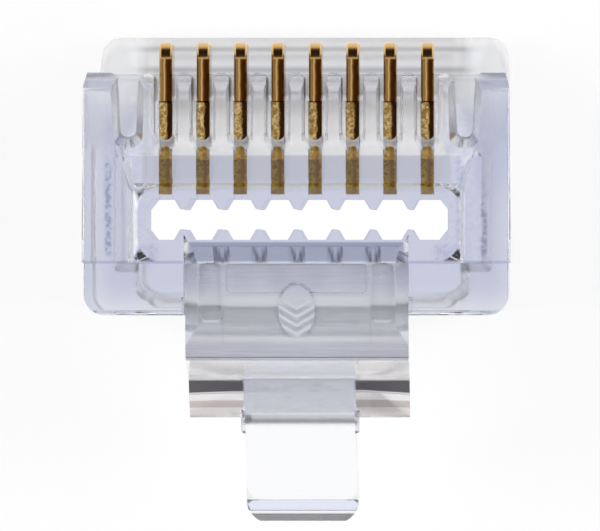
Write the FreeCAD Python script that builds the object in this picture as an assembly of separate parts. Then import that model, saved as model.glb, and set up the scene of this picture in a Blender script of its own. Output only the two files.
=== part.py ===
"""Eight-way modular plug with wire holes that run right through its nose, not yet crimped.

The plug is two kinds of piece. A clear housing is moulded in one with its latch, which bends at a thin root,
and eight stamped contact blades stand in a comb of slots, proud of it until they are pressed home.

Frame: the plug stands on the rim round its cable entry. +Z runs from the entry to the nose, +X across the
comb, and +Y towards the contacts. The origin is the centre of the cable entry.

Places inside the plug are given as a depth behind the nose face and a height over the latch side,
because that is how such plugs are dimensioned. All sizes are in millimetres.
"""
import FreeCAD
import Part
import math
import os

# Housing envelope
LENGTH = 21.46
WIDTH = 11.68
NOSE_HEIGHT = 6.62
REAR_HEIGHT = 7.84
COLLAR_START = 16.6       # depth where the top begins to rise to the rear collar
COLLAR_END = 19.8
COLLAR_RADIUS = 0.55      # round along the collar's two top edges
PARTING_HEIGHT = 1.43     # where the two mould halves meet
PARTING_STEP = 0.05       # how much narrower the lower half is on each side
DRAFT = 0.05              # how much each side leans in from the parting line to the top
CORNER_RADIUS = 0.6
NOSE_RADIUS = 0.1
NOSE_TOP_RADIUS = 0.55
END_RADIUS = 0.12         # round of the rear rim's outer edge
EDGE_WIDTH = 0.11         # chamfer along the two top edges of the nose
EDGE_HEIGHT = 0.45
ENTRY_HEIGHT = REAR_HEIGHT / 2

# Comb of contact slots
PITCH = 1.02
CONTACTS = 8
SLOTS = CONTACTS + 2      # a blind slot stands at each end of the row
SLOT_WIDTH = 0.60
SLOT_FLOOR = 5.86         # floor of a slot behind the front wall
FRONT_WALL = 1.05
COMB_END = 4.75
RIB_RADIUS = 0.18
# Each notch in the front wall narrows inwards, after a flared lip: depth, half width, half foot, floor
NOTCH = (
    (0.0, 0.395, 0.35, 4.50), (0.06, 0.315, 0.29, 4.62), (FRONT_WALL, 0.30, 0.28, 4.76),
)
BLIND_NOTCH = (
    (0.0, 0.475, 0.40, 4.55), (0.12, 0.31, 0.25, 4.79), (0.95, 0.285, 0.20, 4.87),
)
NOTCH_RADIUS = 0.9        # radius of a notch's foot as a share of its half width
SHELF_HEIGHT = 6.45       # top of the comb outside the blades
SHELF_END = 5.04

# Contact blades
BLADE_THICKNESS = 0.35
BLADE_CLEARANCE = 0.01
BLADE_TOP = 7.45
HEAD_UNDERSIDE = 5.82
HEAD_FRONT = FRONT_WALL + BLADE_CLEARANCE
HEAD_REAR = 4.35
HEAD_RADIUS = 0.42
HEAD_EDGE = 0.05          # coined edge round the head
SHANK_FRONT = HEAD_FRONT + 0.03
SHANK_REAR = 4.04
TINES = 3
TINE_TIP = 3.31
TINE_ROOT = 4.25
TINE_FLAT = 0.05
TINE_GAP = 0.12
CRIMP_TRAVEL = 1.23

# Wire channels
WIRE_PITCH = 1.033
CHANNEL_FLOOR = 2.06
CHANNEL_ROOF = 3.18
TOOTH_DEPTH = 0.285
TOOTH_HALF_WIDTH = 0.225
TOOTH_TIP_HALF_WIDTH = 0.06
TOOTH_RADIUS = 0.05
CHANNEL_END = 8.4

# Cable cavity, behind the channels
MOUTH_HALF_WIDTH = 4.57
MOUTH_FLOOR = 1.46
MOUTH_ROOF = 3.56
MOUTH_TAPER = 0.12        # how much narrower the mouth begins on each side
MOUTH_RADIUS = 0.7        # round of the mouth's corners where it begins
CAVITY_HALF_WIDTH = 5.05
CAVITY_FRONT = 9.2
CAVITY_FLOOR = PARTING_HEIGHT
FRONT_ROOF = 4.40
THROAT_START = 11.6
THROAT_ROOF = 5.95
CAVITY_ROOF = 7.18        # inside the collar
CAVITY_RADIUS = 0.15      # round of the cavity's lower and front corners
CAVITY_ROOF_RADIUS = 1.0
# Channels in the cavity's floor, which make room for a round cable: half width, floor, start
FLOOR_STEPS = ((4.45, 0.62, THROAT_START), (4.15, 0.42, 16.8))
FLOOR_RADIUS = 0.4
ROOF_LAG = 0.15           # how far the roof's slope lies in front of the collar's
LEAD_IN = 1.0
LEAD_IN_GROWTH = 0.25

# Shallow panel round the wire holes in the nose face
PANEL_HALF_WIDTH = 4.47
PANEL_FLOOR = PARTING_HEIGHT
PANEL_ROOF = 3.50
PANEL_DEPTH = 0.05
PANEL_EDGE = 0.10
PANEL_RADIUS = 0.15

# Conductor clamp, a bar behind the contacts that is crushed on to the wires
CLAMP_START = 5.35
CLAMP_END = 8.05
CLAMP_HALF_WIDTH = 4.2
CLAMP_BAR_START = 5.95
CLAMP_BAR_END = 7.45
CLAMP_BAR_TOP = 6.05
CLAMP_WEB = 0.22
CLAMP_BAR_GAP = 0.25

# Cable clamp, a bar in the rear roof that is crushed on to the jacket
RELIEF_START = 11.6
RELIEF_END = 16.4
RELIEF_HALF_WIDTH = 3.6
RELIEF_BAR_HALF_WIDTH = 3.25
RELIEF_BAR_FLOOR = 5.45
RELIEF_WEB = 0.28
RELIEF_TABS = (-2.2, 0.0, 2.2)
RELIEF_TAB_HALF_WIDTH = 0.35

# Latch
LATCH_HALF_WIDTH = 3.05
HOLLOW_FLOOR = 0.5        # hollow in the housing that the pressed latch goes into
HOLLOW_HALF_WIDTH = 3.15
HOLLOW_END = 9.3
ROOT_REAR = 1.9
RAMP_TOP = (0.0, 1.89)
RAMP_BREAK = (0.16, PARTING_HEIGHT)
RAMP_FOOT = (2.0, -1.15)
ARM_SLOPE = -0.155
ARM_THICKNESS = 0.785     # measured along the height
WEDGE_START = 6.2
WEDGE_FOOT = (8.1, -2.85)
SHOULDER = 8.45
HINGE_DEPTH = 2.8
HINGE_RADIUS = 0.6
HINGE_GAP = 0.02
TAB_HALF_WIDTH = 1.525
TAB_TIP_HALF_WIDTH = 1.58
TAB_FRONT = (6.25, -1.78)
TAB_START = (7.2, -2.74)
TAB_TIP = (14.8, -5.90)
TAB_THICKNESS = 0.95
TAB_LIP = 0.22
TAB_CORNER = 0.5
TAB_ROUND = 0.7           # round of the tip's two corners, seen from the nose
TAB_GUSSET = 0.12         # corner filled in on each side, where the tab leaves the shoulder
GATE_HALF_WIDTH = 0.50
GATE_HALF_HEIGHT = 0.72
GATE_HEIGHT = 0.12
GATE_PROUD = 0.07
# Recesses in the ramp: x range, height range, depth
RAMP_POCKETS = (
    ((-2.64, -2.05), (-0.20, 1.38), 0.12),
    ((2.05, 2.64), (-0.20, 1.38), 0.12),
    ((-1.93, 1.93), (0.60, 1.38), 0.05),
)
POCKET_RADIUS = 0.15
RAMP_CHAMFER = 0.37       # corner taken off each side of the ramp, running out towards its foot
CHAMFER_FULL = -0.28
CHAMFER_NONE = -0.85

BEYOND = 1.0              # how far a cutting tool runs past the face that it opens
OVERLAP = 0.05            # how far two tools that meet run into each other


def side_place(x):
    """Gives a function from (depth, height) to a point on the plane at x."""
    return lambda depth, height: FreeCAD.Vector(x, height - ENTRY_HEIGHT, LENGTH - depth)


def front_place(depth):
    """Gives a function from (x, height) to a point on the plane at a depth."""
    return lambda x, height: FreeCAD.Vector(x, height - ENTRY_HEIGHT, LENGTH - depth)


def plan_place(height):
    """Gives a function from (x, depth) to a point on the plane at a height."""
    return lambda x, depth: FreeCAD.Vector(x, height - ENTRY_HEIGHT, LENGTH - depth)


def rounded_wire(corners, place):
    """A closed wire through corners (u, v) or (u, v, radius), each rounded by a tangent arc of its radius."""
    edges = []
    count = len(corners)
    runs = []
    for i, corner in enumerate(corners):
        here = FreeCAD.Vector(corner[0], corner[1], 0)
        radius = corner[2] if len(corner) > 2 else 0.0
        if radius <= 0:
            runs.append((here, None, here))
            continue
        before = FreeCAD.Vector(*corners[i - 1][:2], 0)
        after = FreeCAD.Vector(*corners[(i + 1) % count][:2], 0)
        back = (before - here).normalize()
        on = (after - here).normalize()
        half = back.getAngle(on) / 2
        tangent = radius / math.tan(half)
        middle = here + (back + on).normalize() * (radius / math.sin(half) - radius)
        runs.append((here + back * tangent, middle, here + on * tangent))
    for i, (start, middle, end) in enumerate(runs):
        if middle is not None:
            arc = Part.Arc(place(start.x, start.y), place(middle.x, middle.y), place(end.x, end.y))
            edges.append(arc.toShape())
        following = runs[(i + 1) % count][0]
        if (following - end).Length > 1e-6:
            edges.append(Part.makeLine(place(end.x, end.y), place(following.x, following.y)))
    return Part.Wire(edges)


def side_prism(corners, half_width, x=0.0):
    """A solid with a (depth, height) outline, as wide as stated to each side of x."""
    face = Part.Face(rounded_wire(corners, side_place(x - half_width)))
    return face.extrude(FreeCAD.Vector(2 * half_width, 0, 0))


def front_prism(corners, start, end):
    """A solid with an (x, height) outline, from one depth to another."""
    face = Part.Face(rounded_wire(corners, front_place(start)))
    return face.extrude(FreeCAD.Vector(0, 0, start - end))


def plan_prism(corners, bottom, top):
    """A solid with an (x, depth) outline, from one height to another."""
    face = Part.Face(rounded_wire(corners, plan_place(bottom)))
    return face.extrude(FreeCAD.Vector(0, top - bottom, 0))


def block(x_range, heights, depths):
    """A plain block between two x values, two heights and two depths."""
    low = FreeCAD.Vector(x_range[0], heights[0] - ENTRY_HEIGHT, LENGTH - depths[1])
    return Part.makeBox(x_range[1] - x_range[0], heights[1] - heights[0], depths[1] - depths[0], low)


def rounded_rectangle(half_width, bottom, top, radius):
    """Corners of an upright (x, height) rectangle with equal radii."""
    return [
        (-half_width, bottom, radius),
        (half_width, bottom, radius),
        (half_width, top, radius),
        (-half_width, top, radius),
    ]


def slot_centres():
    """The x of every slot of the comb, the two blind ones at its ends included."""
    return [(i - (SLOTS - 1) / 2) * PITCH for i in range(SLOTS)]


def arm_outside(depth):
    """Height of the latch arm's outer face at a depth."""
    return RAMP_FOOT[1] + ARM_SLOPE * (depth - RAMP_FOOT[0])


def arm_inside(depth):
    """Height of the latch arm's inner face at a depth."""
    return arm_outside(depth) + ARM_THICKNESS


def hinge_point():
    """Depth and height of the axis that the latch bends about."""
    return HINGE_DEPTH, arm_outside(HINGE_DEPTH) + ARM_THICKNESS / 2


def hinge_drum(radius):
    """A cylinder about the bending axis, as wide as the housing."""
    depth, height = hinge_point()
    base = side_place(-WIDTH)(depth, height)
    return Part.makeCylinder(radius, 2 * WIDTH, base, FreeCAD.Vector(1, 0, 0))


def side_edge(height):
    """The x of the right side of the housing at a height over the parting line."""
    return WIDTH / 2 - DRAFT * (height - PARTING_HEIGHT) / (REAR_HEIGHT - PARTING_HEIGHT)


def envelope():
    """The outer form: front, side and plan outlines crossed, with its top edges finished."""
    half = WIDTH / 2
    lower = half - PARTING_STEP
    upper = half - DRAFT
    front = front_prism([
        (-lower, 0, CORNER_RADIUS), (lower, 0, CORNER_RADIUS), (lower, PARTING_HEIGHT),
        (half, PARTING_HEIGHT), (upper, REAR_HEIGHT), (-upper, REAR_HEIGHT), (-half, PARTING_HEIGHT),
        (-lower, PARTING_HEIGHT),
    ], 0, LENGTH)
    side = side_prism([
        (0, 0, 0.15), (0, NOSE_HEIGHT, NOSE_TOP_RADIUS), (COLLAR_START, NOSE_HEIGHT),
        (COLLAR_END, REAR_HEIGHT), (LENGTH, REAR_HEIGHT, END_RADIUS), (LENGTH, 0, END_RADIUS),
    ], WIDTH)
    plan = plan_prism([
        (-half, 0, NOSE_RADIUS), (half, 0, NOSE_RADIUS),
        (half, LENGTH, END_RADIUS), (-half, LENGTH, END_RADIUS),
    ], -BEYOND, REAR_HEIGHT + BEYOND)
    edges = [tool(side) for side in (-1, 1) for tool in (nose_edge, collar_edge)]
    return front.common(side).common(plan).cut(edges)


def nose_edge(side):
    """What the chamfer takes off one top edge in front of the collar."""
    edge = side_edge(NOSE_HEIGHT)
    foot = NOSE_HEIGHT - EDGE_HEIGHT
    return front_prism([
        (side * (edge + EDGE_WIDTH / 6), foot), (side * (edge + BEYOND), foot),
        (side * (edge + BEYOND), NOSE_HEIGHT + EDGE_WIDTH),
        (side * (edge - EDGE_WIDTH), NOSE_HEIGHT + EDGE_WIDTH / 6),
    ], -BEYOND, COLLAR_START)


def collar_edge(side):
    """What the round takes off one top edge of the collar, growing from nothing along the rise to it."""
    overlap = 0.005

    def outline(top, radius):
        foot = top - radius - overlap
        return [
            (side * (side_edge(top) - radius - overlap), top + BEYOND),
            (side * (side_edge(top) - radius - overlap), top), (side * side_edge(top), top, radius),
            (side * (side_edge(foot) + overlap / 5), foot), (side * (side_edge(top) + BEYOND), foot),
            (side * (side_edge(top) + BEYOND), top + BEYOND),
        ]
    foot = outline(NOSE_HEIGHT, COLLAR_RADIUS / 5)
    collar = outline(REAR_HEIGHT, COLLAR_RADIUS)
    return loft(foot, COLLAR_START, collar, COLLAR_END).fuse(front_prism(collar, COLLAR_END, LENGTH + BEYOND))


def slot_tool(x, floor, start, end):
    """Cuts one slot of the comb and rounds the tops of the ribs beside it."""
    half = SLOT_WIDTH / 2
    shoulder = half + RIB_RADIUS + 0.005
    above = NOSE_HEIGHT + BEYOND / 4
    return front_prism([
        (x - half, floor), (x + half, floor),
        (x + half, NOSE_HEIGHT, RIB_RADIUS), (x + shoulder, NOSE_HEIGHT), (x + shoulder, above),
        (x - shoulder, above), (x - shoulder, NOSE_HEIGHT), (x - half, NOSE_HEIGHT, RIB_RADIUS),
    ], start, end)


def notch_tool(x, sections, top):
    """Cuts one round-footed notch in the front wall, through its sections from the lip inwards."""
    wires = []
    for depth, half, foot, floor in ((-BEYOND, *sections[0][1:]), *sections):
        corners = [
            (x - half, top), (x - foot, floor, foot * NOTCH_RADIUS), (x + foot, floor, foot * NOTCH_RADIUS),
            (x + half, top),
        ]
        wires.append(rounded_wire(corners, front_place(depth)))
    return Part.makeLoft(wires, True, True)


def comb_tools():
    """Everything that the comb takes out of the nose."""
    tools = []
    centres = slot_centres()
    for x in centres[1:-1]:
        tools += [
            notch_tool(x, NOTCH, NOSE_HEIGHT + BEYOND),
            slot_tool(x, NOSE_HEIGHT - RIB_RADIUS, -BEYOND, COMB_END),
            slot_tool(x, SLOT_FLOOR, FRONT_WALL - OVERLAP, COMB_END), blade_slot(x),
        ]
    for side in (-1, 1):
        x = side * centres[-1]
        tools += [notch_tool(x, BLIND_NOTCH, SHELF_HEIGHT + OVERLAP), shelf_tool(side)]
    return tools


def shelf_tool(side):
    """Lowers the comb outside the blades, from the last rib to the corner post."""
    inner = slot_centres()[-2] + SLOT_WIDTH / 2 + RIB_RADIUS
    above = NOSE_HEIGHT + BEYOND
    rise = NOSE_HEIGHT - SHELF_HEIGHT
    return front_prism([
        (side * inner, NOSE_HEIGHT), (side * (inner + rise), SHELF_HEIGHT),
        (side * (SHELF_END - rise), SHELF_HEIGHT), (side * SHELF_END, NOSE_HEIGHT),
        (side * SHELF_END, above), (side * inner, above),
    ], -BEYOND, COMB_END)


def blade_slot(x):
    """The narrow slot that a contact blade slides in, open to its wire channel."""
    gap = BLADE_CLEARANCE
    seat = HEAD_UNDERSIDE - CRIMP_TRAVEL - gap
    bottom = CHANNEL_ROOF - TOOTH_DEPTH / 4
    return side_prism([
        (FRONT_WALL, bottom), (SHANK_REAR + gap, bottom), (SHANK_REAR + gap, seat),
        (HEAD_REAR + gap, seat), (HEAD_REAR + gap, NOSE_HEIGHT + BEYOND), (FRONT_WALL, NOSE_HEIGHT + BEYOND),
    ], BLADE_THICKNESS / 2 + gap, x)


def channel_corners():
    """(x, height) outline of the eight wire channels, which run into each other between two rows of teeth."""
    edge = CONTACTS / 2 * WIRE_PITCH
    teeth = [(i - CONTACTS / 2) * WIRE_PITCH for i in range(1, CONTACTS)]
    lower = tooth_row(teeth, edge, CHANNEL_FLOOR, CHANNEL_FLOOR + TOOTH_DEPTH)
    upper = tooth_row(teeth, edge, CHANNEL_ROOF, CHANNEL_ROOF - TOOTH_DEPTH)
    return lower + upper[::-1]


def tooth_row(teeth, edge, base, tip):
    """One row of teeth from left to right, with half a tooth at each end."""
    corners = [(-edge, tip), (-edge + TOOTH_HALF_WIDTH, base)]
    for x in teeth:
        corners += [
            (x - TOOTH_HALF_WIDTH, base), (x - TOOTH_TIP_HALF_WIDTH, tip, TOOTH_RADIUS),
            (x + TOOTH_TIP_HALF_WIDTH, tip, TOOTH_RADIUS), (x + TOOTH_HALF_WIDTH, base),
        ]
    return corners + [(edge - TOOTH_HALF_WIDTH, base), (edge, tip)]


def loft(near, near_depth, far, far_depth):
    """A tapered solid between two (x, height) outlines at two depths."""
    wires = [rounded_wire(near, front_place(near_depth)), rounded_wire(far, front_place(far_depth))]
    return Part.makeLoft(wires, True, True)


def cavity_section(growth, roof):
    """Outline of the cable cavity over its floor channels, grown all round by an amount."""
    half = CAVITY_HALF_WIDTH + growth
    return [
        (-half, CAVITY_FLOOR - growth, CAVITY_RADIUS), (half, CAVITY_FLOOR - growth, CAVITY_RADIUS),
        (half, roof + growth, CAVITY_ROOF_RADIUS), (-half, roof + growth, CAVITY_ROOF_RADIUS),
    ]


def floor_section(growth, half_width, floor):
    """Outline of one channel in the cavity's floor, grown all round by an amount."""
    half = half_width + growth
    top = CAVITY_FLOOR + OVERLAP
    return [
        (-half, floor - growth, FLOOR_RADIUS), (half, floor - growth, FLOOR_RADIUS),
        (half, top), (-half, top),
    ]


def cavity_tools():
    """The way that the cable takes: lead-in, cavity, throat, mouth, and the channels to the nose face."""
    neck = rounded_rectangle(MOUTH_HALF_WIDTH - MOUTH_TAPER, MOUTH_FLOOR, MOUTH_ROOF, MOUTH_RADIUS)
    mouth = rounded_rectangle(MOUTH_HALF_WIDTH, MOUTH_FLOOR, MOUTH_ROOF, CAVITY_RADIUS)
    front = rounded_rectangle(CAVITY_HALF_WIDTH, CAVITY_FLOOR, FRONT_ROOF, CAVITY_RADIUS)
    throat = cavity_section(0, THROAT_ROOF)
    rear = cavity_section(0, CAVITY_ROOF)
    rise = COLLAR_START - ROOF_LAG
    top = COLLAR_END - ROOF_LAG
    tools = [
        front_prism(channel_corners(), -BEYOND, CHANNEL_END + OVERLAP),
        loft(neck, CHANNEL_END, mouth, CAVITY_FRONT + OVERLAP),
        loft(front, CAVITY_FRONT, throat, THROAT_START),
        front_prism(throat, THROAT_START, rise),
        loft(throat, rise, rear, top),
        front_prism(rear, top, LENGTH + BEYOND),
        lead_in(rear, cavity_section(LEAD_IN_GROWTH, CAVITY_ROOF)),
    ]
    for half_width, floor, start in FLOOR_STEPS:
        channel = floor_section(0, half_width, floor)
        tools += [
            front_prism(channel, start, LENGTH + BEYOND),
            lead_in(channel, floor_section(LEAD_IN_GROWTH, half_width, floor)),
        ]
    return tools


def lead_in(inner, outer):
    """The flare at the cable entry between two outlines."""
    return loft(inner, LENGTH - LEAD_IN, outer, LENGTH + OVERLAP / 10)


def panel_tool():
    """The shallow panel round the wire holes, with sloping edges at its sides and top."""
    wires = []
    for depth, growth in ((-BEYOND, PANEL_EDGE), (0, PANEL_EDGE), (PANEL_DEPTH, 0)):
        half = PANEL_HALF_WIDTH + growth
        wires.append(rounded_wire([
            (-half, PANEL_FLOOR), (half, PANEL_FLOOR), (half, PANEL_ROOF + growth, PANEL_RADIUS),
            (-half, PANEL_ROOF + growth, PANEL_RADIUS),
        ], front_place(depth)))
    return Part.makeLoft(wires, True, True)


def conductor_clamp():
    """The bar over the wires and the two thin webs that hold it."""
    web_top = CHANNEL_ROOF + CLAMP_WEB
    bar = side_prism([
        (CLAMP_BAR_START, CHANNEL_ROOF), (CLAMP_BAR_END, CHANNEL_ROOF), (CLAMP_BAR_END, CLAMP_BAR_TOP, 0.2),
        (CLAMP_BAR_START, CLAMP_BAR_TOP, 0.2),
    ], CLAMP_HALF_WIDTH - CLAMP_BAR_GAP)
    web = block(
        (-CLAMP_HALF_WIDTH, CLAMP_HALF_WIDTH), (CHANNEL_ROOF, web_top), (CLAMP_START - 0.1, CLAMP_END + 0.1))
    return bar.fuse(web)


def conductor_window():
    """The opening over the conductor clamp, down to its webs."""
    return block(
        (-CLAMP_HALF_WIDTH, CLAMP_HALF_WIDTH), (CHANNEL_ROOF + CLAMP_WEB, NOSE_HEIGHT + BEYOND),
        (CLAMP_START, CLAMP_END))


def cable_clamp():
    """The bar over the cable jacket, with a hinge web in front and three snap tabs behind."""
    bar = side_prism([
        (RELIEF_START + 0.55, RELIEF_BAR_FLOOR + 0.45), (RELIEF_START + 1.5, RELIEF_BAR_FLOOR, 0.2),
        (RELIEF_END - 0.9, RELIEF_BAR_FLOOR, 0.2), (RELIEF_END - 0.45, RELIEF_BAR_FLOOR + 0.5),
        (RELIEF_END - 0.45, NOSE_HEIGHT - 0.1, 0.15), (RELIEF_START + 0.55, NOSE_HEIGHT - 0.1, 0.15),
    ], RELIEF_BAR_HALF_WIDTH)
    web = block(
        (-RELIEF_BAR_HALF_WIDTH, RELIEF_BAR_HALF_WIDTH), (THROAT_ROOF, THROAT_ROOF + RELIEF_WEB),
        (RELIEF_START - 0.1, RELIEF_START + 0.7))
    clamp = bar.fuse(web)
    for x in RELIEF_TABS:
        tab = block(
            (x - RELIEF_TAB_HALF_WIDTH, x + RELIEF_TAB_HALF_WIDTH), (THROAT_ROOF, THROAT_ROOF + RELIEF_WEB),
            (RELIEF_END - 0.6, RELIEF_END + 0.1))
        clamp = clamp.fuse(tab)
    return clamp


def cable_window():
    """The opening in the rear roof round the cable clamp."""
    return block(
        (-RELIEF_HALF_WIDTH, RELIEF_HALF_WIDTH), (THROAT_ROOF - 0.2, REAR_HEIGHT), (RELIEF_START, RELIEF_END))


def latch_root():
    """The part of the latch that belongs to the housing: the ramp under the nose, up to where it bends."""
    end = HINGE_DEPTH - HINGE_RADIUS / 2
    root = side_prism([
        RAMP_TOP, RAMP_BREAK, (*RAMP_FOOT, 0.1), (end, arm_outside(end)), (end, arm_inside(end)),
        (ROOT_REAR, arm_inside(ROOT_REAR), 0.3), (ROOT_REAR, RAMP_TOP[1]),
    ], LATCH_HALF_WIDTH)
    return root.cut(hinge_drum(HINGE_RADIUS + HINGE_GAP))


def ramp_recesses():
    """What the ramp's pockets and side chamfers take off it."""
    pockets = [ramp_prism(pocket_corners(*x, *heights), -depth, BEYOND) for x, heights, depth in RAMP_POCKETS]
    return pockets + [ramp_chamfer(side) for side in (-1, 1)]


def ramp_place(proud):
    """Gives a function from (x, height) to a point that stands proud of the ramp, square to it."""
    run = RAMP_FOOT[0] - RAMP_BREAK[0]
    fall = RAMP_BREAK[1] - RAMP_FOOT[1]
    size = math.hypot(run, fall)

    def place(x, height):
        depth = RAMP_BREAK[0] + (RAMP_BREAK[1] - height) * run / fall
        return side_place(x)(depth - fall / size * proud, height - run / size * proud)
    return place


def ramp_prism(corners, low, high):
    """A solid with an (x, height) outline on the ramp, from one distance over it to another."""
    face = Part.Face(rounded_wire(corners, ramp_place(low)))
    return face.extrude(ramp_place(high)(0, 0) - ramp_place(low)(0, 0))


def pocket_corners(left, right, bottom, top):
    """Outline of a recess in the ramp."""
    return [
        (left, bottom, POCKET_RADIUS), (right, bottom, POCKET_RADIUS), (right, top, POCKET_RADIUS),
        (left, top, POCKET_RADIUS),
    ]


def ramp_chamfer(side):
    """What is taken off one side edge of the ramp, running out to a point towards its foot."""
    def triangle(size, height):
        edge = side * (LATCH_HALF_WIDTH + 0.01)
        points = [ramp_place(0.01)(edge - side * size, height), ramp_place(0.01)(edge, height),
                  ramp_place(0.01 - size)(edge, height)]
        return Part.makePolygon(points + points[:1])
    top = RAMP_TOP[1] + BEYOND
    sections = [
        triangle(RAMP_CHAMFER, top), triangle(RAMP_CHAMFER, CHAMFER_FULL), triangle(0.012, CHAMFER_NONE),
    ]
    return Part.makeLoft(sections, True, True)


def gate_mark():
    """The low oval left by the moulding gate, which follows the ramp."""
    place = front_place(0)
    oval = Part.Ellipse(
        place(0, GATE_HEIGHT + GATE_HALF_HEIGHT), place(GATE_HALF_WIDTH, GATE_HEIGHT), place(0, GATE_HEIGHT))
    column = Part.Face(Part.Wire([oval.toShape()])).extrude(FreeCAD.Vector(0, 0, -RAMP_FOOT[0]))
    reach = 2 * GATE_HALF_HEIGHT
    square = [(-reach, -reach), (reach, -reach), (reach, reach), (-reach, reach)]
    return column.common(ramp_prism(square, -3 * GATE_PROUD, GATE_PROUD))


def nose_relief():
    """What the nose loses under the ramp of the latch, across the latch's width."""
    return side_prism([
        (-BEYOND, RAMP_TOP[1]), RAMP_TOP, RAMP_BREAK, RAMP_FOOT, (-BEYOND, RAMP_FOOT[1]),
    ], LATCH_HALF_WIDTH)


def latch_hollow():
    """The shallow hollow in the latch side that the pressed latch goes into."""
    return side_prism([
        (ROOT_REAR, -BEYOND), (ROOT_REAR, HOLLOW_FLOOR, 0.2), (HOLLOW_END - 0.4, HOLLOW_FLOOR),
        (HOLLOW_END, 0), (HOLLOW_END, -BEYOND),
    ], HOLLOW_HALF_WIDTH)


def channel_core():
    """The channels as a solid, to keep the conductor clamp out of them."""
    return front_prism(channel_corners(), CLAMP_START - BEYOND, CLAMP_END + BEYOND)


def build_housing():
    """The whole moulding, apart from the moving part of the latch."""
    body = envelope().cut(nose_relief()).cut(latch_hollow())
    body = body.cut(comb_tools() + cavity_tools() + [panel_tool(), conductor_window(), cable_window()])
    body = body.fuse([latch_root(), conductor_clamp().cut(channel_core()), cable_clamp()])
    return body.cut(ramp_recesses()).fuse(gate_mark()).removeSplitter()


def build_latch():
    """The moving part of the latch: arm, locking wedge with its two shoulders, and finger tab."""
    arm = side_prism([
        (RAMP_FOOT[0], arm_outside(RAMP_FOOT[0])), (WEDGE_START, arm_outside(WEDGE_START), 0.4),
        (*WEDGE_FOOT, 0.08), (SHOULDER, WEDGE_FOOT[1], 0.08), (SHOULDER, arm_inside(SHOULDER), 0.1),
        (RAMP_FOOT[0], arm_inside(RAMP_FOOT[0])),
    ], LATCH_HALF_WIDTH)
    free = block((-WIDTH, WIDTH), (-3 * REAR_HEIGHT, REAR_HEIGHT), (HINGE_DEPTH, LENGTH))
    arm = arm.common(hinge_drum(HINGE_RADIUS).fuse(free))
    return arm.fuse(latch_tab()).removeSplitter()


def latch_tab():
    """The finger tab, narrower than the arm, bent outwards and a little flared at its tip."""
    run = TAB_TIP[0] - TAB_START[0]
    fall = TAB_TIP[1] - TAB_START[1]
    size = math.hypot(run, fall)
    along = (run / size, fall / size)
    inward = (-along[1], along[0])

    def over(corner, distance):
        return corner[0] + inward[0] * distance, corner[1] + inward[1] * distance
    inner_start = over(TAB_START, TAB_THICKNESS)
    inner_tip = over(TAB_TIP, TAB_THICKNESS)
    lip = over(TAB_TIP, TAB_THICKNESS + TAB_LIP)
    side = side_prism([
        TAB_FRONT, TAB_START, (*TAB_TIP, 0.25), (*lip, 0.15),
        (inner_tip[0] - 1.1 * along[0], inner_tip[1] - 1.1 * along[1], 0.8), (*inner_start, 0.3),
        (TAB_FRONT[0], arm_inside(TAB_FRONT[0]) - 0.4),
    ], LATCH_HALF_WIDTH)
    tip = inner_tip[0] + TAB_LIP
    right = [
        (TAB_HALF_WIDTH, WEDGE_START), (TAB_HALF_WIDTH, SHOULDER - TAB_GUSSET),
        (TAB_HALF_WIDTH + TAB_GUSSET, SHOULDER), (TAB_HALF_WIDTH, SHOULDER + TAB_GUSSET),
        (TAB_TIP_HALF_WIDTH, tip, TAB_CORNER),
    ]
    left = [(-x, *rest) for x, *rest in reversed(right)]
    plan = plan_prism(right + left, -REAR_HEIGHT, REAR_HEIGHT)
    over_tip = TAB_TIP[1] + 2 * TAB_ROUND
    front = front_prism([
        (-TAB_TIP_HALF_WIDTH, TAB_TIP[1], TAB_ROUND), (TAB_TIP_HALF_WIDTH, TAB_TIP[1], TAB_ROUND),
        (TAB_TIP_HALF_WIDTH, over_tip), (WIDTH, over_tip), (WIDTH, REAR_HEIGHT), (-WIDTH, REAR_HEIGHT),
        (-WIDTH, over_tip), (-TAB_TIP_HALF_WIDTH, over_tip),
    ], 0, LENGTH)
    return side.common(plan).common(front)


def build_contact(x):
    """One stamped blade: a rounded head, a narrower shank, and three tines that pierce the wire."""
    half = BLADE_THICKNESS / 2
    head = side_prism([
        (HEAD_FRONT, HEAD_UNDERSIDE), (HEAD_FRONT, BLADE_TOP, HEAD_RADIUS),
        (HEAD_REAR, BLADE_TOP, HEAD_RADIUS), (HEAD_REAR, HEAD_UNDERSIDE),
    ], half, x)
    coined = [
        edge for edge in head.Edges
        if edge.BoundBox.XLength < 1e-6 and edge.CenterOfMass.y > HEAD_UNDERSIDE + 0.1 - ENTRY_HEIGHT
    ]
    head = head.makeChamfer(HEAD_EDGE, coined)
    return head.fuse(side_prism(shank_corners(), half, x)).removeSplitter()


def shank_corners():
    """(depth, height) outline of the part of a blade under its head."""
    step = (SHANK_REAR - SHANK_FRONT) / TINES
    corners = [(SHANK_FRONT, HEAD_UNDERSIDE + 0.1)]
    for i in range(TINES):
        middle = SHANK_FRONT + step * (i + 0.5)
        front = SHANK_FRONT if i == 0 else middle - step / 2 + TINE_GAP
        rear = SHANK_REAR if i == TINES - 1 else middle + step / 2 - TINE_GAP
        corners += [
            (front, TINE_ROOT), (middle - TINE_FLAT, TINE_TIP),
            (middle + TINE_FLAT, TINE_TIP), (rear, TINE_ROOT),
        ]
    return corners + [(SHANK_REAR, HEAD_UNDERSIDE + 0.1)]


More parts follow.
